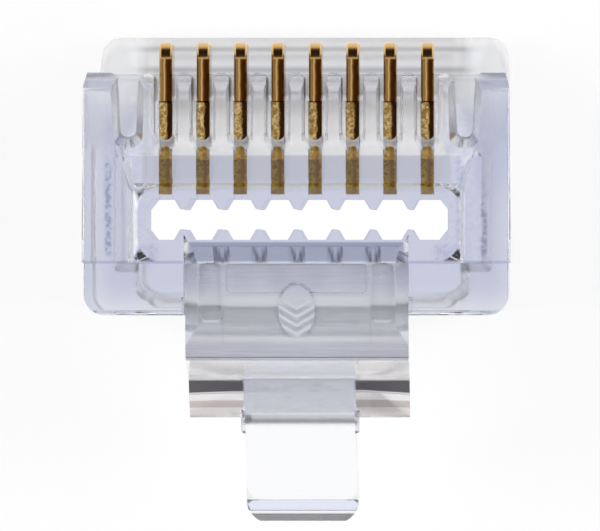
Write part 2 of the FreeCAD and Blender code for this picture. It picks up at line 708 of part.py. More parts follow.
def main():
    """Builds every piece and writes it to its own file."""
    os.makedirs("parts", exist_ok=True)
    pieces = {"housing": build_housing(), "latch_lever": build_latch()}
    for number, x in enumerate(slot_centres()[1:-1], start=1):
        pieces[f"contact_{number}"] = build_contact(x)
    for name, shape in pieces.items():
        if len(shape.Solids) != 1 or not shape.isValid():
            raise ValueError(f"{name} has {len(shape.Solids)} solids, valid: {shape.isValid()}")
        solid = shape.Solids[0]
        solid.exportStep(f"parts/{name}.step")
        print(name, round(solid.Volume, 4), "mm3,", len(solid.Faces), "faces")
    depth, height = hinge_point()
    axis = side_place(0)(depth, height)
    print("latch bends about y", round(axis.y, 4), "z", round(axis.z, 4))


main()
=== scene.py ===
"""Looks of a clear eight-way modular plug: moulded polycarbonate, gold blades, and a small white studio."""
import logging
import math
from dataclasses import dataclass
from enum import Enum

import bpy
from mathutils import Matrix, Vector


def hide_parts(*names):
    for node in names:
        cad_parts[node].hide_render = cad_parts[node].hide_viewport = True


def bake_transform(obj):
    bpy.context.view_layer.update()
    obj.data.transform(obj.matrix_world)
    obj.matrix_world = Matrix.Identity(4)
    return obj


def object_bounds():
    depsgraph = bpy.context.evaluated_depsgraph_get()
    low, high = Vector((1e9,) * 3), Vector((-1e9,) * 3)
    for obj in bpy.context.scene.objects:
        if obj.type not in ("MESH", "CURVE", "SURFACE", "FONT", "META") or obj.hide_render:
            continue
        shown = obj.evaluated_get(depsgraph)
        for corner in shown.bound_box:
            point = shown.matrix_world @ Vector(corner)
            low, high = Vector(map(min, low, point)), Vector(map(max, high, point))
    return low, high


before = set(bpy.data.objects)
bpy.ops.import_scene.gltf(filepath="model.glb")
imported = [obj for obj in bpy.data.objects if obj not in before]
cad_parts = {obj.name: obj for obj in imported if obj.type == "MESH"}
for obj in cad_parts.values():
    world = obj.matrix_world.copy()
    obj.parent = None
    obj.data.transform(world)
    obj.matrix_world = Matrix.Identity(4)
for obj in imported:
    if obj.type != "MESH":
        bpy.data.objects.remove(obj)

LOG = logging.getLogger("plug")
MM = 0.001
CAD_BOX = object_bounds()
WHITE = (1.0, 1.0, 1.0)


class Ray(Enum):
    """A kind of ray, by the name that the light path gives it."""

    CAMERA = "Is Camera Ray"
    GLOSSY = "Is Glossy Ray"
    TRANSMISSION = "Is Transmission Ray"


class Zone(Enum):
    """What else bounds a shade, besides its regions."""

    ANYWHERE = "anywhere"
    RAMP = "on the latch's ramp"
    PAST_GATE = "on the ramp, outside the gate mark"
    GATE_RIM = "on the ramp, along the gate mark's rim"


class Pattern(Enum):
    """What breaks a shade up."""

    EVEN = "nothing"
    SPECKLE = "speckles"
    STREAK = "upright streaks with speckles"
    GRAIN = "fine grain"


class Socket:
    """A shader value that can be used in Python expressions."""

    def __init__(self, graph: "Graph", link: bpy.types.NodeSocket) -> None:
        """Wraps one output socket of a graph."""
        self.graph = graph
        self.link = link

    def _math(self, operation: str, *values: "Socket | float") -> "Socket":
        """Adds one Math node."""
        return self.graph.node("ShaderNodeMath", {"operation": operation}, dict(enumerate(values)))

    def __add__(self, other: "Socket | float") -> "Socket":
        """self + other"""
        return self._math("ADD", self, other)

    def __sub__(self, other: "Socket | float") -> "Socket":
        """self - other"""
        return self._math("SUBTRACT", self, other)

    def __rsub__(self, other: float) -> "Socket":
        """other - self"""
        return self._math("SUBTRACT", other, self)

    def __mul__(self, other: "Socket | float") -> "Socket":
        """self * other"""
        return self._math("MULTIPLY", self, other)

    def __truediv__(self, other: "Socket | float") -> "Socket":
        """self / other"""
        return self._math("DIVIDE", self, other)

    __radd__ = __add__
    __rmul__ = __mul__

    def __abs__(self) -> "Socket":
        """The value without its sign."""
        return self._math("ABSOLUTE", self)

    def wrap(self, low: float, high: float) -> "Socket":
        """The value repeated between two limits."""
        return self._math("WRAP", self, high, low)

    def root(self) -> "Socket":
        """The square root."""
        return self._math("SQRT", self)

    def maximum(self, other: "Socket | float") -> "Socket":
        """The larger of two values."""
        return self._math("MAXIMUM", self, other)

    def minimum(self, other: "Socket | float") -> "Socket":
        """The smaller of two values."""
        return self._math("MINIMUM", self, other)

    def above(self, limit: float, softness: float) -> "Socket":
        """A mask that rises from 0 to 1 round a limit.

        Args:
            limit: the value at which the mask is one half.
            softness: half the width of the rise.

        Returns:
            The mask.
        """
        return self.graph.node("ShaderNodeMapRange", {"interpolation_type": "SMOOTHSTEP"}, {
            "Value": self, "From Min": limit - softness, "From Max": limit + softness, "To Min": 0.0, "To Max": 1.0,
        })

    def below(self, limit: float, softness: float) -> "Socket":
        """A mask that falls from 1 to 0 round a limit."""
        return 1 - self.above(limit, softness)

    def within(self, low: float | None, high: float | None, softness: float,
               low_softness: float | None = None) -> "Socket":
        """A mask that is 1 between two limits and fades out beside them.

        Args:
            low: the lower limit, or None where that side is open.
            high: the upper limit, or None where that side is open.
            softness: half the width of each edge.
            low_softness: the same for the lower edge alone, where it differs.

        Returns:
            The mask.
        """
        if low is None:
            return self.below(high, softness)
        if high is None:
            return self.above(low, softness)
        return self.above(low, low_softness or softness) * self.below(high, softness)


class Graph:
    """The node tree of one material or world."""

    def __init__(self, tree: bpy.types.NodeTree) -> None:
        """Takes over a tree and empties it."""
        self.tree = tree
        tree.nodes.clear()

    def node(self, kind: str, settings: dict | None = None, values: dict | None = None,
             output: int | str = 0) -> Socket | None:
        """Adds one node.

        Args:
            kind: the node's type.
            settings: what is set on the node itself, before its sockets.
            values: numbers, colours or links for its sockets, by name or number.
            output: which output is wanted.

        Returns:
            The output socket, or None for a node that has none.
        """
        made = self.tree.nodes.new(kind)
        for name, value in (settings or {}).items():
            if name == "stops":
                self._set_ramp(made.color_ramp, value)
            else:
                setattr(made, name, value)
        for name, value in (values or {}).items():
            if isinstance(value, Socket):
                self.tree.links.new(value.link, made.inputs[name])
            elif value is not None:
                made.inputs[name].default_value = value
        return Socket(self, made.outputs[output]) if made.outputs else None

    @staticmethod
    def _set_ramp(ramp: bpy.types.ColorRamp, stops: list[tuple[float, tuple]]) -> None:
        """Gives a colour ramp its stops."""
        while len(ramp.elements) > 1:
            ramp.elements.remove(ramp.elements[-1])
        ramp.elements[0].position = stops[0][0]
        ramp.elements[0].color = (*stops[0][1], 1.0)
        for place, colour in stops[1:]:
            ramp.elements.new(place).color = (*colour, 1.0)

    def ramp(self, value: Socket, stops: tuple) -> Socket:
        """A colour that follows a value from stop to stop."""
        return self.node("ShaderNodeValToRGB", {"stops": stops}, {0: value})

    def mix(self, factor: Socket | float, low: Socket | tuple, high: Socket | tuple) -> Socket:
        """A colour between two others, each a socket or red, green and blue."""
        low, high = (end if isinstance(end, Socket) else (*end, 1.0) for end in (low, high))
        return self.node("ShaderNodeMix", {"data_type": "RGBA"}, {0: factor, 6: low, 7: high}, 2)

    def is_ray(self, kind: Ray) -> Socket:
        """1 for rays of one kind, and 0 for all others."""
        return self.node("ShaderNodeLightPath", output=kind.value)

    def noise(self, vector: Socket, scale: float, detail: float = 2.0) -> Socket:
        """Noise between 0 and 1 over a position in millimetres."""
        return self.node("ShaderNodeTexNoise", {"noise_dimensions": "3D"}, {
            "Vector": vector, "Scale": scale, "Detail": detail})

    def stretched(self, place: dict[str, Socket], x: float, y: float, z: float) -> Socket:
        """A position with each direction multiplied by its own factor."""
        return self.node("ShaderNodeVectorMath", {"operation": "MULTIPLY"}, {0: place["vector"], 1: (x, y, z)})

    def finish(self, surface: Socket, volume: Socket | None = None, kind: str = "ShaderNodeOutputMaterial") -> None:
        """Adds the output of a material or world."""
        self.node(kind, values={"Surface": surface, "Volume": volume})

    def place(self) -> dict[str, Socket]:
        """The object's own coordinates in millimetres: x, y and z, and across, the distance from the middle plane."""
        coords = self.node("ShaderNodeTexCoord", output="Object")
        scaled = self.node("ShaderNodeVectorMath", {"operation": "SCALE"}, {0: coords, "Scale": 1 / MM})
        split = self.node("ShaderNodeSeparateXYZ", values={0: scaled})
        outputs = split.link.node.outputs
        return {"vector": scaled, "x": split, "across": abs(split),
                "y": Socket(self, outputs[1]), "z": Socket(self, outputs[2])}


@dataclass(frozen=True)
class Region:
    """A soft-edged region in millimetres.

    Each span gives a low limit, a high limit and the softness of its edges. A limit of None leaves that side open,
    and a fourth number is the softness of the lower edge alone. The peak is the mask's value inside.
    """

    across: tuple | None = None
    up: tuple | None = None
    along: tuple | None = None
    one_sided: bool = False
    peak: float = 1.0

    def mask(self, place: dict[str, Socket]) -> Socket:
        """The region as a mask, on both sides of the middle plane unless it is one-sided."""
        sideways = place["x"] if self.one_sided else place["across"]
        mask = None
        for value, span in ((sideways, self.across), (place["y"], self.up), (place["z"], self.along)):
            if span:
                mask = value.within(*span) if mask is None else mask * value.within(*span)
        return mask if self.peak == 1.0 else mask * self.peak


@dataclass(frozen=True)
class Blotches:
    """Noise cut off at a threshold: how each direction is squeezed, its detail, the threshold and its softness."""

    squeeze: tuple
    detail: float
    threshold: float
    softness: float

    def mask(self, graph: Graph, place: dict[str, Socket]) -> Socket:
        """The blotches as a mask."""
        noise = graph.noise(graph.stretched(place, *self.squeeze), 1.0, self.detail)
        return noise.above(self.threshold, self.softness)


@dataclass(frozen=True)
class Shade:
    """A faint colour mark on the moulding, most of them painted shade or painted reflection: its colour, where it
    lies, how strong it is and what breaks it up.
    """

    colour: tuple
    regions: tuple = ()
    amount: float = 1.0
    zone: Zone = Zone.ANYWHERE
    pattern: Pattern = Pattern.EVEN
    broken: float = 1.0

    def mask(self, place: dict[str, Socket], zones: dict[Zone, Socket], patterns: dict[Pattern, Socket]) -> Socket:
        """How strong the shade is at each place.

        Args:
            place: the coordinates in millimetres.
            zones: the mask of each zone.
            patterns: the values of each pattern.

        Returns:
            The mask.
        """
        masks = [region.mask(place) for region in self.regions]
        mask = sum(masks[1:], start=masks[0]).minimum(1.0) if masks else 1.0
        if self.zone in zones:
            mask = zones[self.zone] * mask
        if self.pattern in patterns:
            mask = mask * (1 - self.broken + self.broken * patterns[self.pattern])
        return mask * self.amount


STREAKS = Blotches((2.6, 0.30, 0.4), 4.0, 0.53, 0.08)
SPECKLES = Blotches((7.0, 7.0, 7.0), 4.0, 0.52, 0.06)
GRAIN = Blotches((0.7, 15.0, 15.0), 2.0, 0.52, 0.10)

NOSE_FACE = (20.8, None, 0.2)
NOSE_SKIN = (20.5, None, 0.2)
UNDER_NOSE = (20.0, None, 0.2)
COLLAR_DEPTH = (None, 6.4, 0.1)
WEDGE_ACROSS = (1.56, 3.2, 0.02)
WEDGE_DEPTH = (12.5, None, 0.2)
BETWEEN_POSTS = (None, 4.20, 0.02)

SIDE_STREAKS = Shade((0.55, 0.60, 0.76), (Region((3.95, 5.35, 0.2), (-2.6, 1.6, 0.4), NOSE_FACE),),
                     pattern=Pattern.STREAK)
SIDE_LINE = Shade((0.30, 0.34, 0.48), (Region((5.03, 5.20, 0.05), (-2.3, 0.3, 0.15), NOSE_FACE),),
                  pattern=Pattern.SPECKLE, broken=0.65)
# Painted reflection: two dark bars across the collar that stand in for dark reflections.
COLLAR_REFLECTION_BARS = Shade((0.20, 0.19, 0.20), (
    Region((None, 4.8, 0.4), (3.50, 3.66, 0.07), COLLAR_DEPTH),
    Region((None, 4.8, 0.4), (2.88, 3.06, 0.09), COLLAR_DEPTH)), 0.9)
# Painted shade in the window's lower corners, and a speckled dark band on the right side.
NOSE_CORNER_SHADE = Shade((0.50, 0.55, 0.72), (
    Region((3.75, 4.30, 0.12), (-2.48, -1.98, 0.1), NOSE_FACE, peak=0.7),
    Region((4.36, 4.56, 0.05), (-2.2, 0.45, 0.1), NOSE_FACE, one_sided=True, peak=0.5)),
    pattern=Pattern.SPECKLE, broken=0.5)
GATE_RIM = Shade((0.18, 0.20, 0.30), (Region(up=(-3.40, None, 0.1)),), zone=Zone.GATE_RIM,
                 pattern=Pattern.SPECKLE, broken=0.6)
# Painted shade in the two pockets on the ramp.
RAMP_POCKET_SHADE = Shade((0.35, 0.38, 0.54), (Region((2.15, 2.75, 0.1), (-2.88, -2.56, 0.08)),), 0.8, Zone.RAMP,
                     Pattern.SPECKLE)
RAMP_SCORES = Shade((0.62, 0.58, 0.56), (
    Region((None, 2.02, 0.03), (-3.40, -3.31, 0.03)),
    Region((None, 2.02, 0.03), (-4.12, -4.06, 0.02)),
    Region((1.98, 2.05, 0.02), peak=0.7)), 0.6, Zone.PAST_GATE)
RAMP_GRAIN = Shade((0.80, 0.82, 0.88), (), 0.5, Zone.RAMP, Pattern.GRAIN)
# Painted shade: the wedge under the latch made darker.
WEDGE_SHADE = Shade((0.86, 0.80, 0.76), (Region(WEDGE_ACROSS, (None, -5.70, 0.04), WEDGE_DEPTH),))
# Painted shade: a darker strip along the wedge's shoulder.
WEDGE_SHOULDER_SHADE = Shade((0.42, 0.34, 0.31), (Region(WEDGE_ACROSS, (-6.06, -5.70, 0.04, 0.03), WEDGE_DEPTH),))
# Painted shade: a thin dark line beside the ramp, level with its top.
RAMP_TOP_SHADE_LINE = Shade((0.55, 0.59, 0.74), (Region((3.08, None, 0.02), (-2.51, -2.43, 0.02), NOSE_SKIN),))
# Painted shade at the feet of the comb's slots.
COMB_FOOT_SHADE = Shade((0.74, 0.74, 0.76), (Region(BETWEEN_POSTS, (0.62, 1.02, 0.05), UNDER_NOSE),))
# Painted shade: the right-hand post made darker than the left.
RIGHT_POST_SHADE = Shade((0.76, 0.79, 0.86), (Region((4.85, None, 0.1), (-0.5, None, 0.8), NOSE_FACE, one_sided=True),))
# Painted shade: a dark row along the window's sill.
WINDOW_SILL_SHADE = Shade((0.27, 0.30, 0.43), (Region((None, 2.95, 0.05), (-2.46, -1.92, 0.04), NOSE_SKIN),))
TEETH = Shade((0.97, 0.96, 0.95), (Region((None, 4.3, 0.2), (0.7, None, 0.1), (14.0, None, 0.5)),))
WIRE_BAND = Shade((0.80, 0.79, 0.77), (Region(BETWEEN_POSTS, (-0.40, 0.62, 0.05), UNDER_NOSE),))


@dataclass(frozen=True)
class ClearPolycarbonate:
    """Clear polycarbonate with a faint blue cast, satin on the latch's ramp and frosted at the gate, with painted
    shade in its base colour.

    The numbers from body to collar say how rough each part of the moulding is. Distances are in millimetres.
    """

    ior: float = 1.586
    body: float = 0.05
    comb: float = 0.20
    ramp: float = 0.42
    gate: float = 0.6
    latch: float = 0.06
    collar: float = 0.30
    absorbed: tuple = (0.45, 0.50, 0.70, 1.0)
    density: float = 6.0
    mist: tuple = (0.87, 0.90, 1.0, 1.0)
    ramp_place: Region = Region((None, 3.07, 0.01), (None, -2.50, 0.02), (19.2, None, 0.1))
    ramp_foot: float = -5.0
    ramp_rise: float = 2.5
    # Painted shade down the ramp: darker at its foot, and darker and bluer near its top.
    ramp_shade_stops: tuple = (
        (0.0, (0.43, 0.46, 0.58)), (0.10, (0.57, 0.60, 0.71)), (0.20, (0.97, 0.97, 1.0)),
        (0.62, (0.96, 0.97, 1.0)), (0.78, (0.58, 0.64, 0.86)), (1.0, (0.50, 0.57, 0.80)))
    gate_middle: float = -3.80
    gate_half: tuple = (0.5, 0.72)
    gate_edge: tuple = (1.0, 0.06)
    gate_depth: tuple = (19.2, 0.1)
    latch_place: Region = Region(None, (None, -4.6, 0.1), (None, 16.2, 0.3))
    collar_place: Region = Region(None, None, (None, 6.0, 1.0))
    comb_place: Region = Region(None, (0.75, None, 0.25), (14.0, None, 1.0))
    past_gate: tuple = (1.05, 0.05)
    gate_rim: tuple = (0.97, 1.12, 0.04)
    streak_share: float = 0.30
    speckle_share: float = 0.18
    shades: tuple = (
        SIDE_STREAKS, SIDE_LINE, COLLAR_REFLECTION_BARS, NOSE_CORNER_SHADE, GATE_RIM, RAMP_POCKET_SHADE, RAMP_SCORES, RAMP_GRAIN, WEDGE_SHADE,
        WEDGE_SHOULDER_SHADE, RAMP_TOP_SHADE_LINE, COMB_FOOT_SHADE, RIGHT_POST_SHADE, WINDOW_SILL_SHADE, TEETH, WIRE_BAND)
    blade_pitch: float = 1.02
    blade_reach: tuple = (0.36, 0.04)
    comb_half: tuple = (4.15, 0.05)
    skin_depth: tuple = (20.5, 0.2)
    slot_foot: Region = Region(None, (0.66, 1.00, 0.05), (14.0, None, 0.5))
    collar_corner: Region = Region((4.55, None, 0.35), (2.3, None, 0.3), (None, 7.0, 0.5))
    cavity_roof: Region = Region((4.00, 5.10, 0.1), (0.50, 2.50, 0.1), (9.5, 12.6, 0.1), peak=1.2)
    ledge: Region = Region((None, 4.7, 0.1), (-0.42, -0.18, 0.03), (None, 21.2, 0.1))
    tab_edge: Region = Region((None, 1.95, 0.05), (-6.98, -6.64, 0.04), (13.6, 15.3, 0.1))
    unbent: float = 0.65
    chevron_slope: float = 0.60
    chevron_pitch: float = 0.24
    chevron_line: tuple = (0.08, 0.16, 0.05)
    tab_front: Region = Region((None, 1.54, 0.05), (-6.62, -5.62, 0.06), (14.0, 15.5, 0.1))
    tab_lip: Region = Region((None, 1.95, 0.05), (-6.98, -6.60, 0.04), (12.8, 15.3, 0.1), peak=0.25)
    ramp_frost: float = 0.25
    gate_frost: float = 0.40
    chevrons_below: tuple = (-3.55, 0.15)
    tab_squeeze: tuple = (0.9, 1.6, 1.6)
    tab_detail: float = 4.0
    tab_frost: float = 0.90
    tab_mottle: float = 1.5

    def roughness(self, place: dict[str, Socket]) -> Socket:
        """How rough each part of the moulding is."""
        rough = self.body + (self.ramp - self.body) * self.ramp_place.mask(place)
        rough = rough + (self.comb - self.body) * self.comb_place.mask(place)
        rough = rough + (self.latch - self.body) * self.latch_place.mask(place)
        rough = rough + (self.collar - self.body) * self.collar_place.mask(place)
        return rough + (self.gate - self.ramp) * self.on_gate(place)

    def oval(self, place: dict[str, Socket]) -> Socket:
        """The squared distance from the gate mark's middle, which is 1 on its edge."""
        oval_x = place["x"] / self.gate_half[0]
        oval_y = (place["y"] - self.gate_middle) / self.gate_half[1]
        return oval_x * oval_x + oval_y * oval_y

    def on_gate(self, place: dict[str, Socket]) -> Socket:
        """A mask of the oval mark that the mould's gate leaves on the ramp."""
        return self.oval(place).below(*self.gate_edge) * place["z"].above(*self.gate_depth)

    def tint_and_painted_shade(self, graph: Graph, place: dict[str, Socket]) -> Socket:
        """Painted shade and other faint marks on the moulding: painted shade down the ramp and in patches, lines, bars
        and bands, with streaks, speckles and grain.

        Args:
            graph: the material's node tree.
            place: the coordinates in millimetres.

        Returns:
            The colour that tints the light as it passes the surface.
        """
        on_ramp = self.ramp_place.mask(place)
        oval = self.oval(place).root()
        zones = {
            Zone.RAMP: on_ramp,
            Zone.PAST_GATE: on_ramp * oval.above(*self.past_gate),
            Zone.GATE_RIM: on_ramp * oval.within(*self.gate_rim)}
        speckle = SPECKLES.mask(graph, place)
        patterns = {
            Pattern.SPECKLE: speckle,
            Pattern.STREAK: STREAKS.mask(graph, place) * self.streak_share + speckle * self.speckle_share,
            Pattern.GRAIN: GRAIN.mask(graph, place)}
        # Painted shade down the ramp, then each shade or mark in turn.
        painted_ramp_shade = graph.ramp((place["y"] - self.ramp_foot) / self.ramp_rise, self.ramp_shade_stops)
        colour = graph.mix(on_ramp, WHITE, painted_ramp_shade)
        for shade in self.shades:
            colour = graph.mix(shade.mask(place, zones, patterns), colour, shade.colour)
        return colour

    def solid(self, place: dict[str, Socket]) -> Socket:
        """How much of the surface bends the light: less on thin edges and on the collar's corners."""
        across, along = place["across"], place["z"]
        from_blade = abs(place["x"].wrap(0.0, self.blade_pitch) - self.blade_pitch / 2)
        from_blade = from_blade + across.above(*self.comb_half)
        behind_skin = across.below(*self.comb_half) * along.below(*self.skin_depth)
        slot_foot = from_blade.below(*self.blade_reach).maximum(behind_skin) * self.slot_foot.mask(place)
        unbent = self.collar_corner.mask(place).maximum(slot_foot)
        for region in (self.cavity_roof, self.ledge, self.tab_edge):
            unbent = unbent.maximum(region.mask(place))
        return 1 - self.unbent * unbent

    def frost(self, graph: Graph, place: dict[str, Socket]) -> Socket:
        """How milky the surface is: on the ramp, at the gate with its chevrons, and on the front of the finger tab."""
        chevron = (place["y"] - self.chevron_slope * place["across"]).wrap(0.0, self.chevron_pitch)
        chevron = chevron.within(*self.chevron_line) * place["y"].below(*self.chevrons_below)
        gate = self.on_gate(place) * (self.gate_frost + (1 - self.gate_frost) * chevron)
        mottle = graph.noise(graph.stretched(place, *self.tab_squeeze), 1.0, self.tab_detail)
        tab = self.tab_front.mask(place) * (self.tab_frost + self.tab_mottle * (mottle - 0.5)).minimum(1.0)
        return gate.maximum(self.ramp_frost * self.ramp_place.mask(place)) + tab.maximum(self.tab_lip.mask(place))

    def material(self) -> bpy.types.Material:
        """Makes the material."""
        made = bpy.data.materials.new("clear_polycarbonate")
        made.use_nodes = True
        graph = Graph(made.node_tree)
        place = graph.place()
        clear = graph.node("ShaderNodeBsdfPrincipled", values={
            "Base Color": self.tint_and_painted_shade(graph, place), "Roughness": self.roughness(place), "IOR": self.ior,
            "Transmission Weight": 1.0, "Alpha": self.solid(place)})
        milky = graph.node("ShaderNodeBsdfDiffuse", values={"Color": self.mist})
        mixed = graph.node("ShaderNodeMixShader", values={0: self.frost(graph, place), 1: clear, 2: milky})
        graph.finish(mixed, graph.node("ShaderNodeVolumeAbsorption", values={
            "Color": self.absorbed, "Density": self.density}))
        return made


@dataclass(frozen=True)
class BladeGold:
    """Gold plate on a stamped blade: polished on the head and dull on the shank, with painted highlights and dark
    reflections on its front, and pale light painted over the ends of the shank and the tail.

    Each limit is followed by its softness. Distances are in millimetres.
    """

    pitch: float = 1.02
    half: float = 0.175
    head_from: tuple = (1.90, 0.03)
    cap_from: tuple = (3.08, 0.03)
    front_from: tuple = (20.0, 0.2)
    foot_from: float = 0.86
    foot_edge: float = 0.01
    foot_round: float = 0.12
    tip: float = 0.70
    tip_round: float = 0.32
    round_edge: float = 0.012
    wander_squeeze: tuple = (0.1, 1, 1)
    wander_scale: float = 3.0
    wander: float = 0.25
    highlight_wander: float = 0.5
    grain_scale: float = 12.0
    grain_detail: float = 5.0
    raggedness: float = 0.5
    shank_bright: tuple = (0.5, 0.10)
    # Where the painted dark reflection down the shank's side begins.
    shank_reflection_edge: tuple = (0.62, 0.08)
    tail_bright: tuple = (0.48, 0.08)
    # The band that the painted darker reflection covers on the tail.
    tail_reflection_band: tuple = (0.55, 0.85, 0.08)
    head_rough: float = 0.15
    shank_rough: float = 0.45
    grain_height: float = 0.03
    # Painted highlight and dark reflection across the head's front: pale rims at both edges, a bright line, then a
    # dark band.
    head_reflection_stops: tuple = (
        (0.0, (0.80, 0.60, 0.34)), (0.12, (0.52, 0.30, 0.10)), (0.30, (0.50, 0.26, 0.07)),
        (0.40, (1.0, 0.74, 0.34)), (0.50, (0.42, 0.17, 0.03)), (0.60, (0.10, 0.03, 0.004)),
        (0.88, (0.07, 0.02, 0.003)), (1.0, (0.60, 0.34, 0.12)))
    cap: tuple = (0.95, 0.60, 0.22)
    shank_low: tuple = (0.50, 0.28, 0.07)
    shank_high: tuple = (1.0, 0.78, 0.36)
    # Painted dark reflection on the shank.
    shank_dark_reflection: tuple = (0.055, 0.018, 0.002)
    tail_low: tuple = (0.70, 0.34, 0.02)
    tail_high: tuple = (1.0, 0.72, 0.14)
    # Painted darker reflection on the tail.
    tail_dark_reflection: tuple = (0.60, 0.30, 0.04)
    sides: tuple = (0.70, 0.44, 0.16)
    # Pale light painted over the blade outside the rounded ends of the shank and the tail.
    pale_light: tuple = (0.78, 0.78, 0.84)

    def rounded(self, across: Socket, height: Socket, run: float) -> Socket:
        """A mask of what lies outside a rounded end, where pale light is painted over the blade.

        Args:
            across: the distance from the blade's middle.
            height: how far inside the end a point is.
            run: the length over which the end widens to the whole blade.

        Returns:
            The mask.
        """
        edge = (height / run).root().minimum(1.0) * self.half
        return (abs(across) - edge).above(0.0, self.round_edge)

    def material(self) -> bpy.types.Material:
        """Makes the material."""
        made = bpy.data.materials.new("contact_gold")
        made.use_nodes = True
        graph = Graph(made.node_tree)
        place = graph.place()
        height = place["y"]
        across = place["x"].wrap(0.0, self.pitch) - self.pitch / 2
        share = across / (2 * self.half) + 0.5
        wander = graph.noise(graph.stretched(place, *self.wander_squeeze), self.wander_scale)
        wander = (wander - 0.5) * self.wander
        grain = graph.noise(place["vector"], self.grain_scale, self.grain_detail)
        ragged = share + wander + (grain - 0.5) * self.raggedness
        # Painted highlight and dark reflection across the head's front, with plain gold on the cap.
        head = graph.ramp(share + wander * self.highlight_wander, self.head_reflection_stops)
        head = graph.mix(height.above(*self.cap_from), head, self.cap)
        # The shank and the tail: grain, a painted dark reflection down one side, and pale light painted outside their
        # rounded ends.
        shank = graph.mix(grain.above(*self.shank_bright), self.shank_low, self.shank_high)
        shank = graph.mix(ragged.above(*self.shank_reflection_edge), shank, self.shank_dark_reflection)
        shank = graph.mix(self.rounded(across, height - self.foot_from, self.foot_round), shank, self.pale_light)
        tail = graph.mix(grain.above(*self.tail_bright), self.tail_low, self.tail_high)
        tail = graph.mix(ragged.within(*self.tail_reflection_band), tail, self.tail_dark_reflection)
        tail = graph.mix(self.rounded(across, self.tip - height, self.tip_round), tail, self.pale_light)
        shank = graph.mix(height.below(self.foot_from, self.foot_edge), shank, tail)
        upper = height.above(*self.head_from)
        colour = graph.mix(place["z"].above(*self.front_from), self.sides, graph.mix(upper, shank, head))
        bump = graph.node("ShaderNodeBump", values={
            "Height": grain * MM * self.grain_height * (1 - upper), "Distance": 1.0, "Strength": 1.0})
        graph.finish(graph.node("ShaderNodeBsdfPrincipled", values={
            "Base Color": colour, "Roughness": self.shank_rough - (self.shank_rough - self.head_rough) * upper,
            "Metallic": 1.0, "Normal": bump}))
        return made


def select_only(piece: bpy.types.Object) -> None:
    """Makes one object the only one selected, and the active one."""
    bpy.ops.object.select_all(action="DESELECT")
    piece.select_set(True)
    bpy.context.view_layer.objects.active = piece


@dataclass
class MouldedBody:
    """The clear housing and its latch as the one moulding that they are."""

    smooth_angle: float = 24.0
    root_from: tuple = (2.12, -1.1686, -0.3836)
    root_to: tuple = (2.62, -1.2461, -0.4611)
    root_inset: float = 0.002
    root_half_width: float = 3.05
    entry_height: float = 3.92
    length: float = 21.46
    merge_distance: float = 1e-7

    def copy_of(self, node: str) -> bpy.types.Object:
        """A copy of a CAD node's mesh with its doubles merged."""
        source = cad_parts[node]
        copied = bpy.data.objects.new(f"{node}_copy", source.data.copy())
        bpy.context.scene.collection.objects.link(copied)
        select_only(copied)
        bpy.ops.mesh.customdata_custom_splitnormals_clear()
        bpy.ops.object.mode_set(mode="EDIT")
        bpy.ops.mesh.select_all(action="SELECT")
        bpy.ops.mesh.remove_doubles(threshold=self.merge_distance)
        bpy.ops.object.mode_set(mode="OBJECT")
        return copied

    def root_bridge(self) -> bpy.types.Object:
        """A short length of the arm that closes the gap at the latch's bending root."""
        near, far = self.root_from, self.root_to
        run, fall = far[0] - near[0], far[1] - near[1]
        slope = math.atan2(fall, run)
        thickness = (near[2] - near[1]) * math.cos(slope) - 2 * self.root_inset
        height = (near[1] + far[2]) / 2 - self.entry_height
        middle = Vector((0, height, self.length - (near[0] + far[0]) / 2)) * MM
        bpy.ops.object.select_all(action="DESELECT")
        bpy.ops.mesh.primitive_cube_add(size=1, location=middle, rotation=(-slope, 0, 0))
        bridge = bpy.context.object
        bridge.scale = Vector((2 * (self.root_half_width - self.root_inset), thickness, math.hypot(run, fall))) * MM
        bpy.ops.object.transform_apply(location=True, rotation=True, scale=True)
        return bridge

    def build(self) -> bpy.types.Object:
        """Builds the moulding from the two CAD nodes.

        Returns:
            The moulding, blended across the latch's hinge.
        """
        body = self.copy_of("housing")
        lever = self.copy_of("latch_lever")
        body.name = body.data.name = "moulded_body"
        for part in (lever, self.root_bridge()):
            select_only(body)
            union = body.modifiers.new("union", "BOOLEAN")
            union.operation = "UNION"
            union.solver = "EXACT"
            union.object = part
            bpy.ops.object.modifier_apply(modifier="union")
            bpy.data.objects.remove(part)
        bpy.ops.object.shade_smooth_by_angle(angle=math.radians(self.smooth_angle))
        weights = body.modifiers.new("weights", "WEIGHTED_NORMAL")
        weights.keep_sharp = True
        bpy.ops.object.modifier_apply(modifier="weights")
        return body

    def dress(self, body: bpy.types.Object, finish: ClearPolycarbonate) -> None:
        """Gives the moulding its finish and its place in the frame."""
        body.data.materials.clear()
        body.data.materials.append(finish.material())
        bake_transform(body)
        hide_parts("housing", "latch_lever")


@dataclass
class ContactComb:
    """The eight blades, which keep their CAD meshes."""

    count: int = 8

    def dress(self, finish: BladeGold) -> None:
        """Gives each blade its finish."""
        material = finish.material()
        for number in range(1, self.count + 1):
            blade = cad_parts[f"contact_{number}"]
            blade.data.materials.clear()
            blade.data.materials.append(material)
            for face in blade.data.polygons:
                face.material_index = 0


@dataclass(frozen=True)
class SoftLamp:
    """A square lamp that faces the plug, in metres."""

    name: str
    place: tuple
    size: float
    radiance: float
    aim: tuple = (0, 0, 0.01)

    def hang(self) -> None:
        """Hangs the lamp."""
        data = bpy.data.lights.new(self.name, "AREA")
        data.size = self.size
        data.energy = self.radiance * math.pi * self.size ** 2
        lamp = bpy.data.objects.new(self.name, data)
        bpy.context.scene.collection.objects.link(lamp)
        lamp.location = self.place
        lamp.rotation_euler = (Vector(self.aim) - Vector(self.place)).to_track_quat("-Z", "Y").to_euler()


